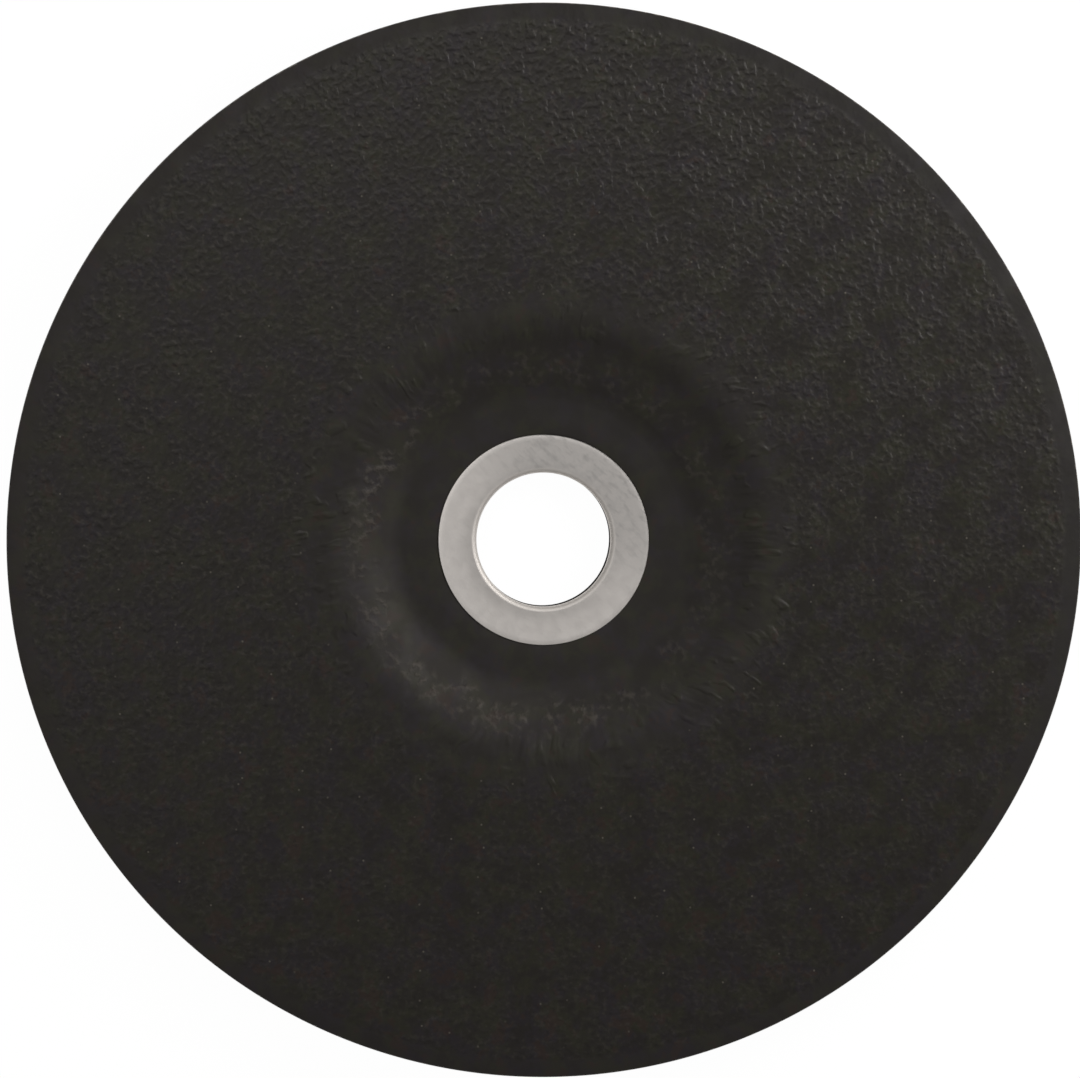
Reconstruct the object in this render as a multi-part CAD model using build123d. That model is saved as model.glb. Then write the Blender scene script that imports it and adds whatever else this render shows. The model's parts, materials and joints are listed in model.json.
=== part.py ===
from build123d import *
import math
import os

# Depressed-centre grinding disc: a moulded abrasive disc with a drawn steel ring pressed in its bore.
# Lengths are in millimetres and angles in degrees. The disc's axis is Z. It lies on the back of its
# hub at Z = 0, with the hollow working face up, and the origin is on the axis at that back face.

# Abrasive disc
disc_diameter = 178.0
disc_thickness = 6.4      # outside the dished centre
hub_thickness = 6.4       # in the flat middle, between the two clamping faces
recess_depth = 4.6        # from the working face down to the recess floor
recess_foot_diameter = 49.2  # where the sloping wall would meet the floor with no rounding
cone_angle = 23.0         # slope of the recess wall, from the plane of the disc
recess_foot_radius = 7.6
recess_shoulder_radius = 12.5
hub_edge_radius = 8.0     # round edge of the hub on the back
hub_root_radius = 9.0     # hollow where the hub runs into the back of the disc
rim_edge_radius = 0.3

# Steel centre ring
bore_diameter = 22.23     # the standard arbor hole of angle grinders of this size
flange_diameter = 35.0
sheet_thickness = 0.6
lip_radius = 0.9          # round lip from the flange into the bore
flange_edge_radius = 0.15
flange_stand = 0.25       # how far the flange stands above the recess floor
tube_setback = 0.6        # how far the tube stops short of the back face

# Heights and radii that follow from these
floor_z = hub_thickness
face_z = floor_z + recess_depth
rim_back_z = face_z - disc_thickness
flange_top_z = floor_z + flange_stand
flange_seat_z = flange_top_z - sheet_thickness
disc_radius = disc_diameter / 2
bore_radius = bore_diameter / 2
tube_radius = bore_radius + sheet_thickness
flange_radius = flange_diameter / 2
bend_radius = lip_radius - sheet_thickness
slope = math.tan(math.radians(cone_angle))
wall_shift = math.tan(math.radians(cone_angle / 2))  # keeps the wall as thick as the hub on the slope
foot_radius = recess_foot_diameter / 2
mouth_radius = foot_radius + recess_depth / slope
hub_edge = foot_radius - hub_thickness * wall_shift
hub_root = hub_edge + rim_back_z / slope


def turned(corners):
    """A solid of revolution about Z. Each corner is its radius, its height and how far it is rounded."""
    points = [(radius, height) for radius, height, _ in corners]
    roundings = [rounding for _, _, rounding in corners]
    section = Plane.XZ * make_face(FilletPolyline(*points, radius=roundings, close=True))
    return revolve(section, axis=Axis.Z)


def abrasive_disc():
    """The moulded disc: flat working face, dished centre, raised hub behind, and the ring's seat."""
    return turned([
        (tube_radius, 0, 0),
        (hub_edge, 0, hub_edge_radius),
        (hub_root, rim_back_z, hub_root_radius),
        (disc_radius, rim_back_z, rim_edge_radius),
        (disc_radius, face_z, rim_edge_radius),
        (mouth_radius, face_z, recess_shoulder_radius),
        (foot_radius, floor_z, recess_foot_radius),
        (flange_radius, floor_z, 0),
        (flange_radius, flange_seat_z, 0),
        (tube_radius, flange_seat_z, bend_radius),
    ])


def centre_ring():
    """The drawn steel ring: a tube in the bore with a flat flange on the recess floor."""
    return turned([
        (bore_radius, tube_setback, 0),
        (tube_radius, tube_setback, 0),
        (tube_radius, flange_seat_z, bend_radius),
        (flange_radius, flange_seat_z, 0),
        (flange_radius, flange_top_z, flange_edge_radius),
        (bore_radius, flange_top_z, lip_radius),
    ])


os.makedirs("parts", exist_ok=True)
for name, solid in {"abrasive_disc": abrasive_disc(), "centre_ring": centre_ring()}.items():
    solid.label = name
    export_step(solid, f"parts/{name}.step")
    print(name, "volume", round(solid.volume), "mm3")
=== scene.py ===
import json
import math

import bpy
from mathutils import Matrix, Vector


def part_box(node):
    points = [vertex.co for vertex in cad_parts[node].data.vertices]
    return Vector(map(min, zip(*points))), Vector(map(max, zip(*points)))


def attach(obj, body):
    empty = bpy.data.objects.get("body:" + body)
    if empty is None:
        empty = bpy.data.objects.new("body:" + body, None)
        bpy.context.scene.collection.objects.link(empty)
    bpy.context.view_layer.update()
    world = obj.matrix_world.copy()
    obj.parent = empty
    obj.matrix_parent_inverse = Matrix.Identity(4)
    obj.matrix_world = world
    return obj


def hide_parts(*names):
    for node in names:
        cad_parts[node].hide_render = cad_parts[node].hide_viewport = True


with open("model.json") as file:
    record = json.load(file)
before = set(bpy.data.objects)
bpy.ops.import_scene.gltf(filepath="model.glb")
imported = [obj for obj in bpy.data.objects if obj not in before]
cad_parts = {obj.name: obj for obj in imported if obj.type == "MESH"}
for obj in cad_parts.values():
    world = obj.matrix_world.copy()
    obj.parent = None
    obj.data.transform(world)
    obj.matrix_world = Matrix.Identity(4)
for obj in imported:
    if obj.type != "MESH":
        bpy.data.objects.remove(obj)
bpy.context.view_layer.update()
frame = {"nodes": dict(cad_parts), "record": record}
print("frame loaded:", ", ".join(sorted(frame["nodes"])))

mm = 0.001
fullTurn = 2 * math.pi
weldDistance = 0.001 * mm

# What the frame says about the two pieces
_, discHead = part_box("abrasive_disc")
ringFoot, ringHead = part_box("centre_ring")
discRadius = discHead.x
faceHeight = discHead.z
flangeRadius = ringHead.x
flangeTop = ringHead.z
tubeEnd = ringFoot.z
boreMount = next(mount for mount in frame["record"]["mounts"] if mount["kind"] == "bore")
boreRadius = boreMount["dims"]["r_mm"] * mm


class Wire:  # an output socket, so that maths on sockets reads as plain maths
    def __init__(self, tree, socket):
        self.tree = tree
        self.socket = socket

    def maths(self, operation, *values):
        return self.tree.add("ShaderNodeMath", {"operation": operation}, list(values))

    def __add__(self, other):
        return self.maths("ADD", self, other)

    def __radd__(self, other):
        return self.maths("ADD", other, self)

    def __sub__(self, other):
        return self.maths("SUBTRACT", self, other)

    def __rsub__(self, other):
        return self.maths("SUBTRACT", other, self)

    def __mul__(self, other):
        return self.maths("MULTIPLY", self, other)

    def __rmul__(self, other):
        return self.maths("MULTIPLY", other, self)

    def __truediv__(self, other):
        return self.maths("DIVIDE", self, other)

    def __rtruediv__(self, other):
        return self.maths("DIVIDE", other, self)

    def least(self, other):
        return self.maths("MINIMUM", self, other)

    def most(self, other):
        return self.maths("MAXIMUM", self, other)

    def size(self):
        return self.maths("ABSOLUTE", self)

    def whole(self):
        return self.maths("FLOOR", self)

    def rise(self, low, high):  # 0 below low, 1 above high, with a soft start and end
        settings = {"interpolation_type": "SMOOTHSTEP"}
        return self.tree.add("ShaderNodeMapRange", settings, [self, low, high, 0.0, 1.0])

    def over(self, least, added):  # a least value, and what this share adds to it
        return least + added * self

    def band(self, low, lowFull, highFull, high):  # 1 between the two middle values and 0 outside
        return self.rise(low, lowFull) * (1 - self.rise(highFull, high))


class Tree:  # a node tree that is built one call at a time
    def __init__(self, tree):
        self.tree = tree
        self.tree.nodes.clear()

    def add(self, kind, settings=None, sockets=(), out=0):
        node = self.tree.nodes.new(kind)
        for name, value in (settings or {}).items():
            setattr(node, name, value)
        given = sockets.items() if isinstance(sockets, dict) else enumerate(sockets)
        for key, value in given:
            if isinstance(value, Wire):
                self.tree.links.new(value.socket, node.inputs[key])
            elif value is not None:
                node.inputs[key].default_value = value
        return Wire(self, node.outputs[out]) if node.outputs else node

    def vector(self, operation, *values, out=0):
        return self.add("ShaderNodeVectorMath", {"operation": operation}, list(values), out)

    def scaled(self, vector, factor):
        return self.add("ShaderNodeVectorMath", {"operation": "SCALE"}, {0: vector, 3: factor})

    def towards(self, vector, way):  # how far a vector reaches in a flat direction
        return self.vector("DOT_PRODUCT", vector, (*way, 0.0), out=1)

    def combine(self, x, y, z):
        return self.add("ShaderNodeCombineXYZ", {}, [x, y, z])

    def split(self, vector):
        x = self.add("ShaderNodeSeparateXYZ", {}, [vector])
        return x, Wire(self, x.socket.node.outputs[1]), Wire(self, x.socket.node.outputs[2])

    def noise(self, vector, scale, detail=2.0, roughness=0.5, flat=True):
        settings = {"noise_dimensions": "2D" if flat else "3D"}
        sockets = {"Vector": vector, "Scale": scale, "Detail": detail, "Roughness": roughness}
        return self.add("ShaderNodeTexNoise", settings, sockets)

    # Soft patches, 1 where the noise is above high and 0 where it is below low
    def patches(self, vector, scale, detail, roughness, low, high, flat=True):
        return self.noise(vector, scale, detail, roughness, flat).rise(low, high)

    # Random cells: the distance from the nearest cell's middle, and that cell's random number
    def cells(self, vector, scale, flat=True):
        settings = {"voronoi_dimensions": "2D" if flat else "3D"}
        distance = self.add("ShaderNodeTexVoronoi", settings, {"Vector": vector, "Scale": scale})
        return distance, self.split(Wire(self, distance.socket.node.outputs[1]))[0]

    def blend(self, factor, first, second):  # two numbers
        return self.add("ShaderNodeMix", {"data_type": "FLOAT"}, {0: factor, 2: first, 3: second})

    def tint(self, factor, first, second):  # two colours
        return self.add("ShaderNodeMix", {"data_type": "RGBA"}, {0: factor, 6: first, 7: second}, 2)

    # A place's distance from the axis, its height, and its direction from the axis as a unit vector
    def polar(self, place):
        x, y, z = self.split(place)
        outward = self.combine(x, y, 0.0)
        radius = self.vector("LENGTH", outward, out=1)
        return radius, z, self.vector("NORMALIZE", outward)


class Shape(Tree):  # a Geometry Nodes tree with named inputs, put on an object as a modifier
    def __init__(self, name, kinds):
        super().__init__(bpy.data.node_groups.new(name, "GeometryNodeTree"))
        self.keys = {}
        sockets = self.tree.interface
        for label, kind in kinds.items():
            socket = sockets.new_socket(name=label, in_out="INPUT", socket_type="NodeSocket" + kind)
            self.keys[label] = socket.identifier
        sockets.new_socket(name="Geometry", in_out="OUTPUT", socket_type="NodeSocketGeometry")
        self.entry = self.tree.nodes.new("NodeGroupInput")

    def input(self, label):
        return Wire(self, self.entry.outputs[label])

    def randomVector(self, low, high, seed):
        settings = {"data_type": "FLOAT_VECTOR"}
        return self.add("FunctionNodeRandomValue", settings, {0: low, 1: high, 8: seed})

    def finish(self, geometry, *coats):  # each coat is a material and the faces that get it, or None for all
        geometry = self.add("GeometryNodeRealizeInstances", {}, [geometry])
        for material, faces in coats:
            geometry = self.add("GeometryNodeSetMaterial", {},
                                {"Geometry": geometry, "Selection": faces, "Material": material})
        self.add("NodeGroupOutput", {}, {"Geometry": geometry})

    def build(self, name, values):  # runs the tree and gives a plain mesh object
        carrier = bpy.data.objects.new(name, bpy.data.meshes.new(name))
        bpy.context.scene.collection.objects.link(carrier)
        modifier = carrier.modifiers.new(name, "NODES")
        modifier.node_group = self.tree
        for label, value in values.items():
            modifier[self.keys[label]] = value
        ready = carrier.evaluated_get(bpy.context.evaluated_depsgraph_get())
        mesh = bpy.data.meshes.new_from_object(ready)
        carrier.modifiers.clear()
        carrier.data = mesh
        mesh.name = name
        print("made", name, "with", sum(len(face.vertices) - 2 for face in mesh.polygons), "triangles")
        return carrier


# A turned form: a closed outline of corners, each with its radius, its height and how far it is rounded
def outlineCurve(name, corners):
    curve = bpy.data.curves.new(name, "CURVE")
    curve.dimensions = "3D"
    spline = curve.splines.new("POLY")
    spline.points.add(len(corners) - 1)
    spline.use_cyclic_u = True
    for point, (radius, height, rounding) in zip(spline.points, corners):
        point.co = (radius, height, 0, 1)
        point.radius = rounding
    outline = bpy.data.objects.new(name, curve)
    bpy.context.scene.collection.objects.link(outline)
    return outline


# Spins the tree's outline about Z; spacing is a function that says how far apart rows lie at a place
def spin(tree, spacing):
    outline = tree.add("GeometryNodeObjectInfo", {}, [tree.input("Outline")], out=4)
    rounding = tree.add("GeometryNodeInputRadius")
    steps = (rounding / tree.input("Round Step")).whole().most(1.0).least(tree.input("Round Limit")) + 2
    rounded = tree.add("GeometryNodeFilletCurve", {"mode": "POLY"},
                       {"Curve": outline, "Count": steps, "Radius": rounding})
    place = tree.add("GeometryNodeInputPosition")
    following = tree.add("GeometryNodeOffsetPointInCurve", {}, {"Offset": 1}, out=1)
    nextPlace = tree.add("GeometryNodeFieldAtIndex", {"data_type": "FLOAT_VECTOR"}, [place, following])
    gap = tree.vector("DISTANCE", place, nextPlace, out=1)
    middle = tree.scaled(tree.vector("ADD", place, nextPlace), 0.5)
    cuts = (gap / spacing(middle)).whole()
    divided = tree.add("GeometryNodeSubdivideCurve", {}, [rounded, cuts])

    # A grid with one row for each point of the outline, and the first one again at the end
    count = tree.add("GeometryNodeAttributeDomainSize", {"component": "CURVE"}, [divided])
    rows = count + 1
    turns = tree.input("Segments")
    sheet = tree.add("GeometryNodeMeshGrid", {}, {"Vertices X": turns + 1, "Vertices Y": rows})
    index = tree.add("GeometryNodeInputIndex")
    turn = ((index + 0.5) / rows).whole()
    row = index - turn * rows
    cornerIndex = row - (row / count).whole() * count
    corner = tree.add("GeometryNodeSampleIndex", {"data_type": "FLOAT_VECTOR"}, [divided, place, cornerIndex])
    radius, height, _ = tree.split(corner)
    angle = turn / turns * fullTurn
    spot = tree.combine(radius * angle.maths("COSINE", angle), radius * angle.maths("SINE", angle), height)
    placed = tree.add("GeometryNodeSetPosition", {}, {"Geometry": sheet, "Position": spot})
    welded = tree.add("GeometryNodeMergeByDistance", {}, {"Geometry": placed, "Distance": weldDistance})
    outwards = tree.add("GeometryNodeFlipFaces", {}, [welded])    # a spun grid's faces point inwards
    return tree.add("GeometryNodeSetShadeSmooth", {}, [outwards])


# The moulded disc
discValues = {
    "thickness": 6.4 * mm,
    "hubThickness": 6.4 * mm,
    "recessFoot": 24.6 * mm,         # radius where the sloping wall would meet the floor
    "wallAngle": 23.0,               # degrees
    "footRound": 7.6 * mm,
    "shoulderRound": 12.5 * mm,
    "hubEdgeRound": 8.0 * mm,
    "hubRootRound": 9.0 * mm,
    "edgeRound": 0.3 * mm,
    "seatRound": 0.1 * mm,
    "sheet": 0.6 * mm,               # thickness of the steel that lies in the seat
    "lipRound": 0.9 * mm,
    "recessSkin": 47.5 * mm,         # the recess's skin, with folds and marks, reaches out to here
    "gritDepth": 0.1 * mm,           # faces this close to the full radius are bare grit
    "mouthSide": (0.71, 0.71),       # the recess's mouth sits a little off the axis, this way
    "faintSide": (0.8, 0.6),         # the pleats are faintest this way
    "bands": {                       # radii where a form starts, is full, starts to fade and is gone
        "closeRows": (23.0 * mm, 30.0 * mm, 41.0 * mm, 47.0 * mm),
        "pleats": (29.5 * mm, 33.0 * mm, 37.0 * mm, 43.0 * mm),
        "hubPleats": (24.0 * mm, 28.0 * mm, 32.0 * mm, 38.0 * mm),
        "mouth": (26.0 * mm, 32.0 * mm, 38.0 * mm, 46.0 * mm),
        "waves": (41.0 * mm, 47.0 * mm, discRadius - 4 * mm, discRadius - 2 * mm),
    },
    "inputs": {                      # of the node tree
        "Segments": 640,
        "Round Step": 0.8 * mm,
        "Round Limit": 9.0,
        "Fine Row": 0.5 * mm,
        "Coarse Row": 4.5 * mm,
        "Pleat Depth": 0.09 * mm,
        "Pleat Count": 13.0,
        "Wave Depth": 0.05 * mm,
        "Edge Sink": 0.22 * mm,
        "Mouth Shift": 1.3 * mm,
    },
}


def discOutline(values):
    floor = values["hubThickness"]
    rimBack = faceHeight - values["thickness"]
    slope = math.tan(math.radians(values["wallAngle"]))
    halfSlope = math.tan(math.radians(values["wallAngle"] / 2))
    mouth = values["recessFoot"] + (faceHeight - floor) / slope
    hubEdge = values["recessFoot"] - floor * halfSlope
    hubRoot = hubEdge + rimBack / slope
    tubeRadius = boreRadius + values["sheet"]
    seat = flangeTop - values["sheet"]
    small = values["seatRound"]
    return [
        (tubeRadius, seat, values["lipRound"] - values["sheet"]),
        (flangeRadius, seat, small),
        (flangeRadius, floor, small),
        (values["recessFoot"], floor, values["footRound"]),
        (mouth, faceHeight, values["shoulderRound"]),
        (discRadius, faceHeight, values["edgeRound"]),
        (discRadius, rimBack, values["edgeRound"]),
        (hubRoot, rimBack, values["hubRootRound"]),
        (hubEdge, 0, values["hubEdgeRound"]),
        (tubeRadius, 0, small),
    ]


def discTree(values):
    tree = Shape("moulded disc", {
        "Outline": "Object", "Segments": "Int", "Round Step": "Float", "Round Limit": "Float",
        "Fine Row": "Float", "Coarse Row": "Float", "Pleat Depth": "Float", "Pleat Count": "Float",
        "Wave Depth": "Float", "Edge Sink": "Float", "Mouth Shift": "Float", "Flat Skin": "Material",
        "Recess Skin": "Material", "Grit": "Material",
    })
    bands = values["bands"]
    floor = values["hubThickness"]

    def spacing(spot):  # rows lie close together in the recess and at the rim
        radius, height, _ = tree.split(spot)
        front = height.rise(floor - mm, floor - 0.5 * mm)
        rim = radius.rise(discRadius - mm, discRadius - 0.5 * mm)
        close = (radius.band(*bands["closeRows"]) * front).most(rim)
        return tree.blend(close, tree.input("Coarse Row"), tree.input("Fine Row"))

    form = spin(tree, spacing)
    place = tree.add("GeometryNodeInputPosition")
    radius, height, outward = tree.polar(place)
    front = height.rise(floor - 0.6 * mm, floor - 0.1 * mm)    # 1 on the hollow side, 0 on the back

    # Pleats over the shoulder and the hub's root, and slow waves on the flat
    alongX, alongY, _ = tree.split(tree.scaled(outward, tree.input("Pleat Count")))
    pleatSpot = tree.combine(alongX, alongY, radius * 45)      # drawn out along the radius
    pleats = tree.patches(pleatSpot, 1.0, 2.0, 0.6, 0.3, 0.7, flat=False)
    strength = 1 - 0.7 * tree.towards(outward, values["faintSide"]).rise(-0.2, 1.0)
    frontPleats = pleats * radius.band(*bands["pleats"]) * strength * tree.input("Pleat Depth")
    backPleats = pleats * radius.band(*bands["hubPleats"]) * tree.input("Pleat Depth") * 0.5
    waves = tree.patches(place, 55.0, 2.0, 0.5, 0.25, 0.75) * tree.input("Wave Depth")
    waves = waves * radius.band(*bands["waves"])
    fall = (frontPleats + waves) * (0 - front)
    lift = (backPleats + waves) * (1 - front)

    # The edge is sunk between its two corners, and the grains stand in it
    halfThickness = values["thickness"] / 2
    fromMiddle = (height - (faceHeight - halfThickness)).size()
    betweenCorners = 1 - fromMiddle.rise(halfThickness - 1.1 * mm, halfThickness - 0.7 * mm)
    atEdge = radius.rise(discRadius - 0.2 * mm, discRadius - 0.05 * mm)
    rough = 0.6 + 0.4 * tree.noise(place, 900.0, 1.0, flat=False)
    sink = atEdge * betweenCorners * rough * tree.input("Edge Sink") * -1

    offset = tree.vector("ADD", tree.combine(0.0, 0.0, fall + lift), tree.scaled(outward, sink))
    shift = tree.input("Mouth Shift") * front * radius.band(*bands["mouth"])
    offset = tree.vector("ADD", offset, tree.scaled((*values["mouthSide"], 0.0), shift))
    shaped = tree.add("GeometryNodeSetPosition", {}, {"Geometry": form, "Offset": offset})
    recess = tree.add("FunctionNodeCompare", {"operation": "LESS_THAN"}, [radius, values["recessSkin"]])
    bareFrom = discRadius - values["gritDepth"]
    bare = tree.add("FunctionNodeCompare", {"operation": "GREATER_THAN"}, [radius, bareFrom])
    tree.finish(shaped, (tree.input("Flat Skin"), None), (tree.input("Recess Skin"), recess),
                (tree.input("Grit"), bare))
    return tree


# Grains that stand out of the bare edge
grainValues = {
    "clearance": 0.5 * mm,           # between the grains' middles and the edge's two corners
    "inset": 0.01 * mm,              # how far the tallest grain stays inside the disc's full size
    "mostPerArea": 4e6,              # per square metre, far above what the spacing leaves
    "inputs": {                      # of the node tree
        "Segments": 256,
        "Sink": 0.30 * mm,
        "Spacing": 0.82 * mm,
        "Grain": 0.40 * mm,
        "Flattest": 0.45,
        "Seed": 11,
    },
}


def grainTree(values):
    tree = Shape("edge grains", {
        "Segments": "Int", "Sink": "Float", "Spacing": "Float", "Grain": "Float", "Flattest": "Float",
        "Seed": "Int", "Grit": "Material",
    })
    low = faceHeight - discValues["thickness"] + values["clearance"]
    high = faceHeight - values["clearance"]
    sheet = tree.add("GeometryNodeMeshGrid", {}, {"Vertices X": tree.input("Segments"), "Vertices Y": 2})
    along, across, _ = tree.split(tree.add("GeometryNodeInputPosition"))
    angle = along * fullTurn
    sunk = discRadius - tree.input("Sink")
    spot = tree.combine(sunk * angle.maths("COSINE", angle), sunk * angle.maths("SINE", angle),
                        low + (across + 0.5) * (high - low))
    band = tree.add("GeometryNodeSetPosition", {}, {"Geometry": sheet, "Position": spot})
    seed = tree.input("Seed")
    points = tree.add("GeometryNodeDistributePointsOnFaces", {"distribute_method": "POISSON"}, {
        "Mesh": band, "Distance Min": tree.input("Spacing"), "Density Max": values["mostPerArea"],
        "Seed": seed,
    })
    grain = tree.add("GeometryNodeMeshIcoSphere", {}, {"Radius": tree.input("Grain"), "Subdivisions": 1})
    turned = tree.randomVector((0, 0, 0), (fullTurn, fullTurn, fullTurn), seed)
    flattest = tree.input("Flattest")
    stretch = tree.randomVector(tree.combine(flattest, flattest, flattest), (1, 1, 1), seed + 1)
    placed = tree.add("GeometryNodeInstanceOnPoints", {},
                      {"Points": points, "Instance": grain, "Rotation": turned, "Scale": stretch})
    loose = tree.add("GeometryNodeRealizeInstances", {}, [placed])
    radius, height, outward = tree.polar(tree.add("GeometryNodeInputPosition"))
    kept = tree.scaled(outward, radius.least(discRadius - values["inset"]))
    dressed = tree.add("GeometryNodeSetPosition", {}, {
        "Geometry": loose, "Position": tree.vector("ADD", kept, tree.combine(0.0, 0.0, height)),
    })
    tree.finish(dressed, (tree.input("Grit"), None))
    return tree


# The steel ring
ringValues = {
    "sheet": 0.6 * mm,
    "lipRound": 0.9 * mm,
    "edgeRound": 0.15 * mm,
    "seatEdgeRound": 0.05 * mm,
    "tubeEdgeRound": 0.12 * mm,
    "dish": 0.13 * mm,               # how far the flange falls towards the bore
    "inputs": {                      # of the node tree
        "Segments": 480,
        "Round Step": 0.1 * mm,
        "Round Limit": 12.0,
        "Row": 0.8 * mm,
    },
}


def ringOutline(values):
    seat = flangeTop - values["sheet"]
    outside = boreRadius + values["sheet"]
    tubeEdge = values["tubeEdgeRound"]
    return [
        (boreRadius, flangeTop - values["dish"], values["lipRound"]),
        (flangeRadius, flangeTop, values["edgeRound"]),
        (flangeRadius, seat, values["seatEdgeRound"]),
        (outside, seat, values["lipRound"] - values["sheet"]),
        (outside, tubeEnd, tubeEdge),
        (boreRadius, tubeEnd, tubeEdge),
    ]


def ringTree():
    tree = Shape("drawn ring", {
        "Outline": "Object", "Segments": "Int", "Round Step": "Float", "Round Limit": "Float",
        "Row": "Float", "Steel": "Material",
    })
    form = spin(tree, lambda spot: tree.input("Row"))
    tree.finish(form, (tree.input("Steel"), None))
    return tree


def newMaterial(name):
    material = bpy.data.materials.new(name)
    material.use_nodes = True
    return material, Tree(material.node_tree)


# The surface's own shader, and another one for a share of it
def surface(tree, constants, sockets, share=None, other=None):
    node = tree.tree.nodes.new("ShaderNodeBsdfPrincipled")
    for key, value in constants.items():
        node.inputs[key].default_value = value
    for key, wire in sockets.items():
        tree.tree.links.new(wire.socket, node.inputs[key])
    shader = Wire(tree, node.outputs[0])
    if other:
        shader = tree.add("ShaderNodeMixShader", {}, [share, shader, other])
    tree.add("ShaderNodeOutputMaterial", {}, {"Surface": shader})


def bumped(tree, height):  # the height is in millimetres
    return tree.add("ShaderNodeBump", {}, {"Distance": mm, "Height": height})


# The abrasive's moulded skin
skinLook = {
    "brown": (0.0120, 0.0098, 0.0077, 1),
    "olive": (0.0164, 0.0158, 0.0086, 1),
    "purple": (0.0142, 0.0113, 0.0134, 1),
    "rust": (0.0225, 0.0124, 0.0092, 1),
    # the dark of the pits, and also the colour of the painted shade
    "pitAndShade": (0.0050, 0.0042, 0.0034, 1),
    "fleck": (0.0400, 0.0350, 0.0280, 1),
    "speck": (0.080, 0.072, 0.058, 1),
    "mark": (0.061, 0.052, 0.043, 1),
    "sheen": (1.0, 0.96, 0.93, 1),
    "roughness": 0.42,
    "recessRoughness": 0.64,
    "marginRoughness": 0.64,
    "specular": 0.34,
    "pebbleHeight": 0.106,           # these heights are in millimetres
    "foldHeight": 0.18,
    "creaseHeight": 0.14,
    "markHeight": 0.16,
    "faintestPebbles": 0.3,          # share of the pebbles' height that is left on the rim's margin
    "faintestInRecess": 0.05,
    "calming": 0.34,                 # how much smoother the skin is on its calm side
    "wearing": 0.38,                 # and on its worn side
    "raggedness": 7.0,               # millimetres by which the recess's bands wander
    "foldPattern": (17, 0.16),       # how close folds stand round the axis and along the radius
    "creasePattern": (19, 0.24),
    "specksPerMillimetre": 0.2,
    "speckRadius": (0.02, 0.045),    # in cells: whole, and gone
    "pebbleTurn": 0.7,               # radians, so that the pebbles' pattern doesn't follow an axis
    "hueShift": (31.0, 7.0, 0.0),    # keeps the hue away from the mottling's own pattern
    "patchiness": (0.55, 0.75),      # each of these is a least value and what is added to it at most
    "crispness": (0.52, 0.40),
    "crispInside": (0.76, 0.24),
    "rawness": (0.25, 0.6),
    "markStrength": (0.38, 0.44),
    "brownShare": 0.8,               # how much of a colour goes on, at most
    "rustShare": 0.7,
    "pitShare": 0.6,
    "fleckShare": 0.5,
    "markShare": 0.9,
    "dustShare": 0.13,
    "paintedFloorShadeShare": 0.32,
    "marginPurple": 0.2,
    "paintedMarginLight": 0.2,
    "paintedMarginShade": 0.35,
    "radii": {                       # millimetres
        "recessPebbles": (36.5, 43.0),    # the pebbles fade in outside the recess
        "margin": (85.8, 86.8),      # and out again short of the rim
        "crisp": (44.0, 72.0),
        "folds": (30.5, 33.0, 36.0, 40.0),
        "creases": (31.0, 34.0, 40.0, 45.0),
        "marks": (26.0, 29.4, 30.6, 34.0),
        "paintedFloorShade": (17.5, 22.5, 23.5, 25.5),
        "dust": (23.5, 26.0, 31.0, 34.0),
    },
    "sides": {                       # flat directions
        "crisp": (0.42, 0.91),
        "worn": (0.97, 0.24),
        "calm": (0.15, -0.99),
        "marks": (-0.75, -0.66),
        "dust": (-0.87, -0.5),
        "paintedMarginLight": (-0.97, 0.24),
        "paintedMarginShade": (0.9, 0.44),
    },
    "ramps": {                       # where something starts and where it is full
        "calm": (-5.0, 45.0),        # millimetres from the axis, towards that side
        "crisp": (8.0, 85.0),
        "worn": (30.0, 85.0),
        "olive": (0.36, 0.62),       # values of the noise
        "brown": (0.42, 0.60),
        "notRust": (0.28, 0.40),
        "notPit": (0.26, 0.42),
        "fleck": (0.56, 0.76),
        "speck": (0.5, 1.0),
        "paintedFloorShade": (-0.3, 0.7),        # shares of the way towards that side
        "dust": (0.0, 0.9),
        "paintedMarginLight": (0.1, 0.8),
        "paintedMarginShade": (0.4, 0.9),
        "marks": (-0.3, 0.6),
        "deepEast": (0.965, 0.995),
        "deepSouth": (0.5, 0.95),
    },
    "noise": {                       # scale per millimetre, detail, roughness, and the patches' low and high
        "pebbles": (1 / 1.15, 1.0, 0.35, 0.36, 0.80),
        "patches": (0.17, 2.0, 0.6, 0.34, 0.62),
        "flecks": (1 / 0.95, 1.0),
        "mottle": (0.15, 3.0, 0.7),
        "hue": (0.24, 3.0, 0.65),
        "ragged": (0.45, 1.0),
        "lean": (0.05, 0.0),
        "creaseGroups": (0.3, 1.0, 0.5, 0.44, 0.60),
        "wander": (0.2, 1.0),
        "markGroups": (0.2, 2.0, 0.6, 0.36, 0.66),
        "markLumps": (0.8, 2.0, 0.42, 0.38, 0.82),
    },
}


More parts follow.
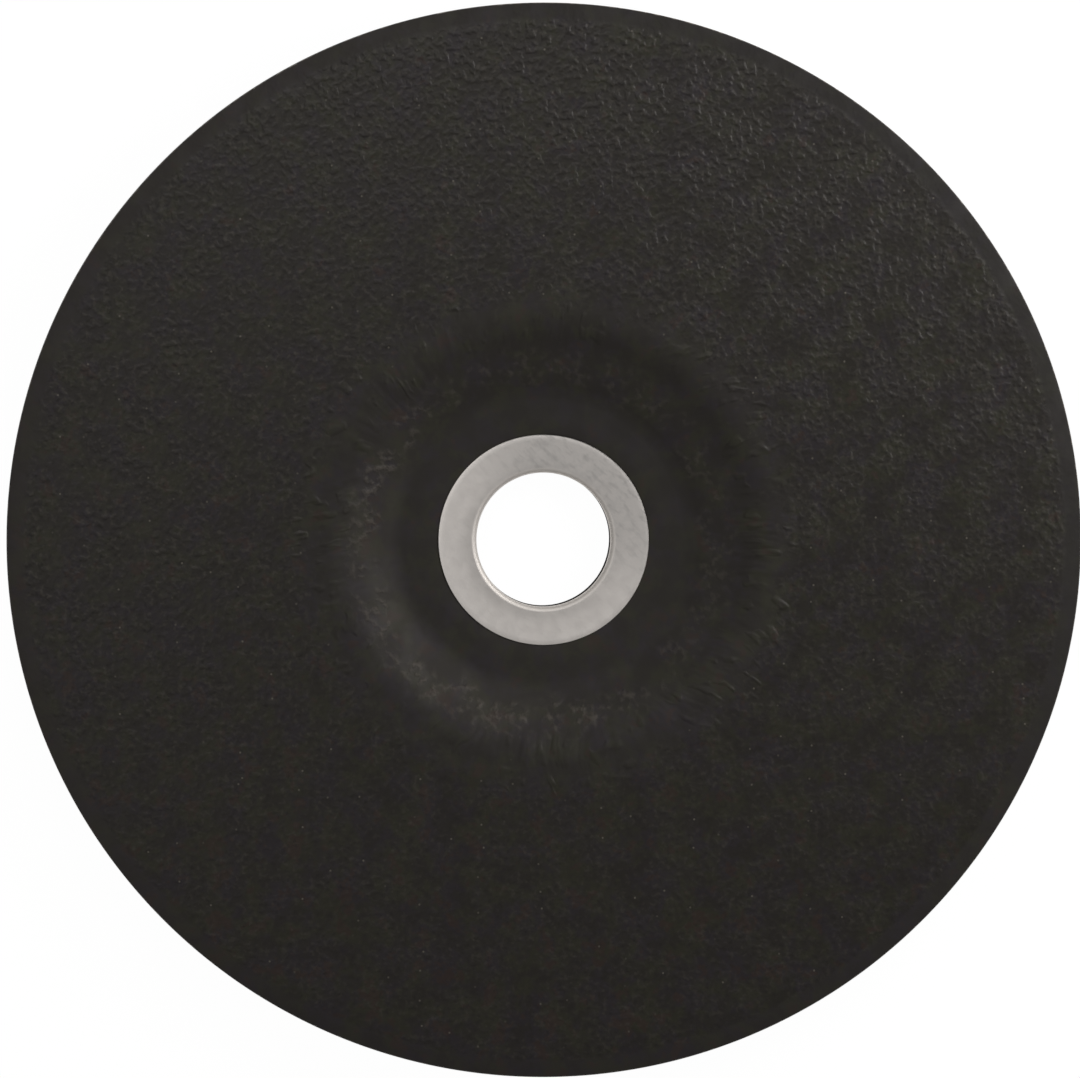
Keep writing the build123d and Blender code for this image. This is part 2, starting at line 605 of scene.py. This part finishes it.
def skinMaterial(look, recessed):  # the flat's skin, or the recess's with its folds, creases and marks
    radii, sides, ramps, noise = look["radii"], look["sides"], look["ramps"], look["noise"]
    material, tree = newMaterial("recess skin" if recessed else "flat skin")
    place = tree.add("ShaderNodeTexCoord", out=3)
    radius, _, outward = tree.polar(place)
    spot = tree.scaled(place, 1 / mm)    # millimetres from here on
    radius = radius / mm
    if recessed:
        uneven = radius + (tree.noise(spot, *noise["ragged"]) - 0.5) * look["raggedness"]
        pebbled = uneven.rise(*radii["recessPebbles"])
        faintest = look["faintestInRecess"]
        smoothRoughness = look["recessRoughness"]
    else:
        pebbled = 1 - radius.rise(*radii["margin"])
        faintest = look["faintestPebbles"]
        smoothRoughness = look["marginRoughness"]
    patchy = tree.patches(spot, *noise["patches"]).over(*look["patchiness"])
    calm = 1 - look["calming"] * tree.towards(spot, sides["calm"]).rise(*ramps["calm"])

    turned = tree.add("ShaderNodeVectorRotate", {"rotation_type": "Z_AXIS"},
                      {"Vector": spot, "Angle": look["pebbleTurn"]})
    pebbles = tree.patches(turned, *noise["pebbles"])
    crispward = tree.towards(spot, sides["crisp"])
    worn = tree.towards(spot, sides["worn"]).rise(*ramps["worn"])
    crisp = crispward.rise(*ramps["crisp"]).over(*look["crispness"]) * (1 - look["wearing"] * worn)
    crisp = crisp * calm * radius.rise(*radii["crisp"]).over(*look["crispInside"])
    height = pebbles * patchy * crisp * (faintest + (1 - faintest) * pebbled) * look["pebbleHeight"]

    mottle = tree.noise(spot, *noise["mottle"])
    hueSpot = tree.vector("ADD", spot, look["hueShift"])
    hue = tree.noise(hueSpot, *noise["hue"]) + crispward * 0.0006
    colour = tree.tint(mottle.rise(*ramps["olive"]), look["purple"], look["olive"])
    colour = tree.tint(hue.rise(*ramps["brown"]) * look["brownShare"], colour, look["brown"])
    colour = tree.tint((1 - hue.rise(*ramps["notRust"])) * look["rustShare"], colour, look["rust"])
    flecks = tree.noise(spot, *noise["flecks"])
    rawness = pebbled * patchy.over(*look["rawness"]) * calm
    pits = (1 - flecks.rise(*ramps["notPit"])) * rawness
    colour = tree.tint(pits * look["pitShare"], colour, look["pitAndShade"])
    colour = tree.tint(flecks.rise(*ramps["fleck"]) * rawness * look["fleckShare"], colour, look["fleck"])
    nearest, pick = tree.cells(spot, look["specksPerMillimetre"])
    speck = (1 - nearest.rise(*look["speckRadius"])) * pick.rise(*ramps["speck"]) * pebbled
    colour = tree.tint(speck, colour, look["speck"])

    if recessed:
        folds, creases, marks = recessForms(look, tree, spot, radius, outward)
        height = height + folds * look["foldHeight"] + creases * look["creaseHeight"]
        height = height + marks * look["markHeight"]
        # Painted shade: the floor and the foot of the wall are tinted darker on the side away from the lit
        # wall
        towardsLitWall = tree.towards(outward, sides["marks"])
        paintedFloorShade = radius.band(*radii["paintedFloorShade"]) * (0 - towardsLitWall).rise(*ramps["paintedFloorShade"])
        colour = tree.tint(paintedFloorShade * look["paintedFloorShadeShare"], colour, look["pitAndShade"])
        dustAndLightSide = tree.towards(outward, sides["dust"]).rise(*ramps["dust"])
        dust = (0.2 + mottle) * radius.band(*radii["dust"]) * dustAndLightSide
        pale = (marks * look["markShare"] + dust * look["dustShare"]).least(1.0)
        colour = tree.tint(pale, colour, look["mark"])
    else:
        margin = 1 - pebbled
        # Painted light and painted shade on the rim's margin: the flecks' colour makes it paler towards the
        # west, and the pits' colour makes it darker towards the east
        dustAndLightSide = tree.towards(outward, sides["paintedMarginLight"]).rise(*ramps["paintedMarginLight"])
        paintedShadeSide = tree.towards(outward, sides["paintedMarginShade"]).rise(*ramps["paintedMarginShade"])
        colour = tree.tint(margin * look["marginPurple"], colour, look["purple"])
        colour = tree.tint(margin * dustAndLightSide * look["paintedMarginLight"], colour, look["fleck"])
        colour = tree.tint(margin * paintedShadeSide * look["paintedMarginShade"], colour, look["pitAndShade"])
    roughness = look["roughness"] + 0.12 * (patchy - 1)
    roughness = roughness + (1 - pebbled) * (smoothRoughness - look["roughness"])

    surface(tree, {"Specular IOR Level": look["specular"], "Specular Tint": look["sheen"]},
            {"Base Color": colour, "Roughness": roughness, "Normal": bumped(tree, height)})
    return material


def recessForms(look, tree, spot, radius, outward):
    radii, sides, ramps, noise = look["radii"], look["sides"], look["ramps"], look["noise"]

    # Folds and creases run out over the shoulder and lean a little to either side
    x, y, _ = tree.split(outward)
    lean = (tree.noise(spot, *noise["lean"]) - 0.5) * 0.3
    leanX = x - y * lean
    leanY = y + x * lean
    around, outwards = look["foldPattern"]
    foldSpot = tree.combine(leanX * around, leanY * around, radius * outwards)
    deep = 1 + 1.6 * x.rise(*ramps["deepEast"]) + 0.8 * (0 - y).rise(*ramps["deepSouth"])
    folds = (tree.noise(foldSpot, 1.0, 1.0, flat=False) - 0.5) * radius.band(*radii["folds"]) * deep
    around, outwards = look["creasePattern"]
    creaseSpot = tree.combine(leanX * around, leanY * around, radius * outwards)
    ridges = tree.patches(creaseSpot, 1.0, 1.0, 0.5, 0.50, 0.74, flat=False)
    creases = ridges * radius.band(*radii["creases"]) * tree.patches(spot, *noise["creaseGroups"])

    # Soft pale scuffs in a wandering band at the foot of the wall
    marked = tree.towards(outward, sides["marks"])
    wander = radius - 0.8 * marked + (tree.noise(spot, *noise["wander"]) - 0.5) * look["raggedness"]
    groups = tree.patches(spot, *noise["markGroups"])
    lumps = tree.patches(spot, *noise["markLumps"])
    strength = marked.rise(*ramps["marks"]).over(*look["markStrength"])
    marks = groups * lumps * strength * wander.band(*radii["marks"])
    return folds, creases, marks


# The bare grit of the edge
gritLook = {
    "binder": (0.020, 0.017, 0.015, 1),
    "grain": (0.085, 0.070, 0.058, 1),
    "paleGrain": (0.17, 0.15, 0.13, 1),
    "specular": 0.4,
    "roughness": 0.55,
    "grainsPerMillimetre": 1.5,
    "grainHeight": 0.12,             # millimetres
}


def gritMaterial(look):
    material, tree = newMaterial("bare grit")
    place = tree.add("ShaderNodeTexCoord", out=3)
    spot = tree.scaled(place, 1 / mm)
    nearest, pick = tree.cells(spot, look["grainsPerMillimetre"], flat=False)
    colour = tree.tint(pick.rise(0.2, 0.8), look["binder"], look["grain"])
    colour = tree.tint(pick.rise(0.88, 0.95), colour, look["paleGrain"])
    fine = tree.noise(spot, 4.0, 2.0, 0.6, flat=False)
    roughness = look["roughness"] + 0.3 * (fine - 0.5)
    height = ((1 - nearest) + fine * 0.5) * look["grainHeight"]
    surface(tree, {"Specular IOR Level": look["specular"]},
            {"Base Color": colour, "Roughness": roughness, "Normal": bumped(tree, height)})
    return material


# The ring's steel, satin with some wear, and with painted shade and painted highlights
steelLook = {
    "light": (0.806, 0.757, 0.715, 1),
    # also the colour of the painted highlights
    "pale": (0.96, 0.91, 0.86, 1),
    "dullAndShaded": (0.44, 0.42, 0.40, 1),
    "lip": (0.69, 0.65, 0.61, 1),
    # the dark colour of the painted shade, and of the tube's inside
    "bore": (0.050, 0.047, 0.043, 1),
    "roughness": 0.40,
    "lipRoughness": 0.60,
    "grainHeight": 0.004,            # millimetres
    "blotches": 0.26,                # how much of each kind of wear there is, and of the painted shade and painted highlight on the flange
    "streaks": 0.28,
    "paintedFlangeShade": 0.38,
    "paintedFlangeHighlight": 0.27,
    "wornAndShadedWay": (0.6, 0.8),           # a flat direction, to the worn side, which also gets painted shade
    "wornAndShadedRamp": (-0.15, 0.95),       # shares of the way there, from start to full
    "paintedHighlightRamp": (-0.6, 0.6),
    "spotStrength": (0.22, 0.78),    # a least value and what is added to it at most
    "streakStretch": (0.75, 0.27),
    "blotchNoise": (0.42, 2.0, 0.6, 0.38, 0.68),
    "streakNoise": (1.0, 2.0, 0.6, 0.46, 0.74),
    "tubeHeight": (5.1, 5.6),        # millimetres; below it a dark matt shader paints shade on the inside of the tube
    "radii": {                       # millimetres
        "paintedHighlight": (14.6, 17.5),
        "shaded": (11.4, 14.8),
        "edge": (17.25, 17.42),
        "lip": (11.7, 12.1),
    },
}


def steelMaterial(look):
    radii = look["radii"]
    material, tree = newMaterial("satin steel")
    place = tree.add("ShaderNodeTexCoord", out=3)
    radius, height, outward = tree.polar(place)
    spot = tree.scaled(place, 1 / mm)
    radius = radius / mm
    height = height / mm
    towardsWornAndShaded = tree.towards(outward, look["wornAndShadedWay"])
    worn = towardsWornAndShaded.rise(*look["wornAndShadedRamp"])
    blotches = tree.patches(spot, *look["blotchNoise"])
    x, y, _ = tree.split(spot)
    across, along = look["streakStretch"]
    streakSpot = tree.combine((x + y) * across, (x - y) * along, 0.0)
    streaks = tree.patches(streakSpot, *look["streakNoise"])
    spots = blotches * look["blotches"] + streaks * look["streaks"]
    # Wear: blotches and streaks, stronger on the worn side; and painted shade that darkens the whole flange
    # on that side
    wearAndShade = worn * look["paintedFlangeShade"] + spots * worn.over(*look["spotStrength"])
    colour = tree.tint(wearAndShade, look["light"], look["dullAndShaded"])
    # Painted highlight: the outer flange is paler on the side away from the worn side
    paintedHighlight = radius.rise(*radii["paintedHighlight"]) * (0 - towardsWornAndShaded).rise(*look["paintedHighlightRamp"])
    colour = tree.tint(paintedHighlight * look["paintedFlangeHighlight"], colour, look["pale"])
    # Painted shade: darker towards the bore, more so away from the worn side, and on the outer edge on the
    # worn side
    shaded = 1 - radius.rise(*radii["shaded"])
    edge = radius.rise(*radii["edge"])
    paintedShade = (shaded * (0.15 - 0.13 * towardsWornAndShaded)).most(edge * worn * 0.85)
    colour = tree.tint(paintedShade, colour, look["bore"])
    # Painted highlight on the outer edge, away from the worn side
    colour = tree.tint(edge * (1 - worn) * 0.8, colour, look["pale"])
    lip = 1 - radius.rise(*radii["lip"])
    colour = tree.tint(lip, colour, look["lip"])
    roughness = tree.blend(lip, look["roughness"] + 0.05 * blotches, look["lipRoughness"])
    fine = (tree.noise(spot, 6.0, 2.0, 0.6) + streaks * 0.8) * look["grainHeight"]
    # Painted shade: the inside of the tube gets a dark matt shader in place of the steel
    paintedTubeShade = tree.add("ShaderNodeBsdfDiffuse", {}, {"Color": look["bore"]})
    inTube = 1 - height.rise(*look["tubeHeight"])
    surface(tree, {"Metallic": 1.0},
            {"Base Color": colour, "Roughness": roughness, "Normal": bumped(tree, fine)}, inTube, paintedTubeShade)
    return material


flatSkin = skinMaterial(skinLook, False)
recessSkin = skinMaterial(skinLook, True)
grit = gritMaterial(gritLook)
steel = steelMaterial(steelLook)
print("materials made")

outline = outlineCurve("disc outline", discOutline(discValues))
discBody = discTree(discValues).build("disc_body", {
    **discValues["inputs"], "Outline": outline,
    "Flat Skin": flatSkin, "Recess Skin": recessSkin, "Grit": grit,
})
bpy.data.objects.remove(outline)
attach(discBody, "root")
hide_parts("abrasive_disc")

edgeGrains = grainTree(grainValues).build("edge_grains", {**grainValues["inputs"], "Grit": grit})
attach(edgeGrains, "root")

outline = outlineCurve("ring outline", ringOutline(ringValues))
ringBody = ringTree().build("ring_body", {**ringValues["inputs"], "Outline": outline, "Steel": steel})
bpy.data.objects.remove(outline)
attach(ringBody, "root")
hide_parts("centre_ring")


# The camera looks almost straight down, through a long lens, from a little to the left and above
cameraSettings = {
    "tilt": 3.2,                     # degrees off straight down
    "bearing": 137.0,                # degrees, from the picture's right towards its top
    "lens": 400.0,
    "sensor": 36.0,
    "frameWidth": 1080,              # pixels
    "frameHeight": 1078,
    "discAcross": 1073.8,            # the disc's outline, in the picture's pixels
    "discCentre": (543.95, 540.05),
    "nearest": 0.05,                 # metres
    "furthest": 50,
}


def makeCamera(settings):
    data = bpy.data.cameras.new("camera")
    camera = bpy.data.objects.new("camera", data)
    bpy.context.scene.collection.objects.link(camera)
    bpy.context.scene.camera = camera
    data.lens = settings["lens"]
    data.sensor_width = settings["sensor"]
    pixel = 2 * discRadius / settings["discAcross"]
    distance = pixel * settings["frameWidth"] * settings["lens"] / settings["sensor"]
    tilt = math.radians(settings["tilt"])
    bearing = math.radians(settings["bearing"])
    back = Vector((math.sin(tilt) * math.cos(bearing), math.sin(tilt) * math.sin(bearing), math.cos(tilt)))
    right = Vector((0, 1, 0)).cross(back).normalized()
    up = back.cross(right)
    place = Vector((0, 0, faceHeight - discValues["thickness"] / 2)) + back * distance
    turn = Matrix((right, up, back)).transposed().to_4x4()
    camera.matrix_world = Matrix.Translation(place) @ turn
    data.shift_x = (settings["frameWidth"] / 2 - settings["discCentre"][0]) / settings["frameWidth"]
    data.shift_y = (settings["discCentre"][1] - settings["frameHeight"] / 2) / settings["frameWidth"]
    data.clip_start = settings["nearest"]
    data.clip_end = settings["furthest"]


# Floor, light and background
lightSettings = {
    "world": 0.285,
    "lowGlow": 0.20,                 # added near the horizon
    "lowGlowEnds": (0.15, 0.62),     # it fades between these heights of the sky
    "floorSize": 4.0,                # metres
    "floorDrop": 0.02 * mm,          # the floor lies this far under the disc, so their faces don't coincide
    "floorColour": (0.8, 0.8, 0.8, 1),
    "white": 1.03,                   # strength of the background
    "whiteShare": 0.95,              # the rest is the floor's own shade, with the disc's shadow
}
lamps = {                            # power, size, bearing, degrees above the floor, distance
    "east": (0.505, 0.15, 30.0, 40.0, 0.32),
    "north": (0.132, 0.15, 105.0, 58.0, 0.32),
    "west": (0.038, 0.15, 180.0, 66.0, 0.32),
}


def makeFloor(settings):
    half = settings["floorSize"] / 2
    low = -settings["floorDrop"]
    corners = [(-half, -half, low), (half, -half, low), (half, half, low), (-half, half, low)]
    mesh = bpy.data.meshes.new("floor")
    mesh.from_pydata(corners, [], [(0, 1, 2, 3)])
    floor = bpy.data.objects.new("floor", mesh)
    bpy.context.scene.collection.objects.link(floor)
    material, tree = newMaterial("pale floor")
    plain = tree.add("ShaderNodeBsdfDiffuse", {}, {"Color": settings["floorColour"]})
    white = tree.add("ShaderNodeEmission", {}, {"Color": (1, 1, 1, 1), "Strength": settings["white"]})
    path = tree.add("ShaderNodeLightPath")
    outputs = path.socket.node.outputs
    seen = path.most(Wire(tree, outputs["Is Glossy Ray"])).most(Wire(tree, outputs["Is Transmission Ray"]))
    faint = tree.add("ShaderNodeMixShader", {}, [settings["whiteShare"], plain, white])
    mixed = tree.add("ShaderNodeMixShader", {}, [seen, plain, faint])
    underneath = tree.add("ShaderNodeNewGeometry", out=6)    # from below, the disc's back shows through
    clear = tree.add("ShaderNodeBsdfTransparent")
    floorShader = tree.add("ShaderNodeMixShader", {}, [underneath, mixed, clear])
    tree.add("ShaderNodeOutputMaterial", {}, {"Surface": floorShader})
    mesh.materials.append(material)


def makeWorld(settings):
    world = bpy.data.worlds.new("studio")
    bpy.context.scene.world = world
    world.use_nodes = True
    tree = Tree(world.node_tree)
    _, _, up = tree.split(tree.add("ShaderNodeTexCoord"))
    strength = settings["world"] + settings["lowGlow"] * (1 - up.rise(*settings["lowGlowEnds"]))
    glow = tree.add("ShaderNodeBackground", {}, {"Color": (1, 1, 1, 1), "Strength": strength})
    tree.add("ShaderNodeOutputWorld", {}, {"Surface": glow})


def makeLamp(name, power, size, bearing, height, distance):
    data = bpy.data.lights.new(name, "AREA")
    data.shape = "SQUARE"
    data.size = size
    data.energy = power
    turn = math.radians(bearing)
    rise = math.radians(height)
    side = Vector((math.cos(turn) * math.cos(rise), math.sin(turn) * math.cos(rise), math.sin(rise)))
    lamp = bpy.data.objects.new(name, data)
    bpy.context.scene.collection.objects.link(lamp)
    lamp.location = side * distance
    lamp.rotation_mode = "QUATERNION"
    lamp.rotation_quaternion = side.to_track_quat("Z", "Y")
    lamp.visible_camera = False


makeCamera(cameraSettings)
makeFloor(lightSettings)
makeWorld(lightSettings)
for name, lamp in lamps.items():
    makeLamp(name, *lamp)
bpy.context.scene.view_settings.view_transform = "Standard"
print("camera, floor and lights set")
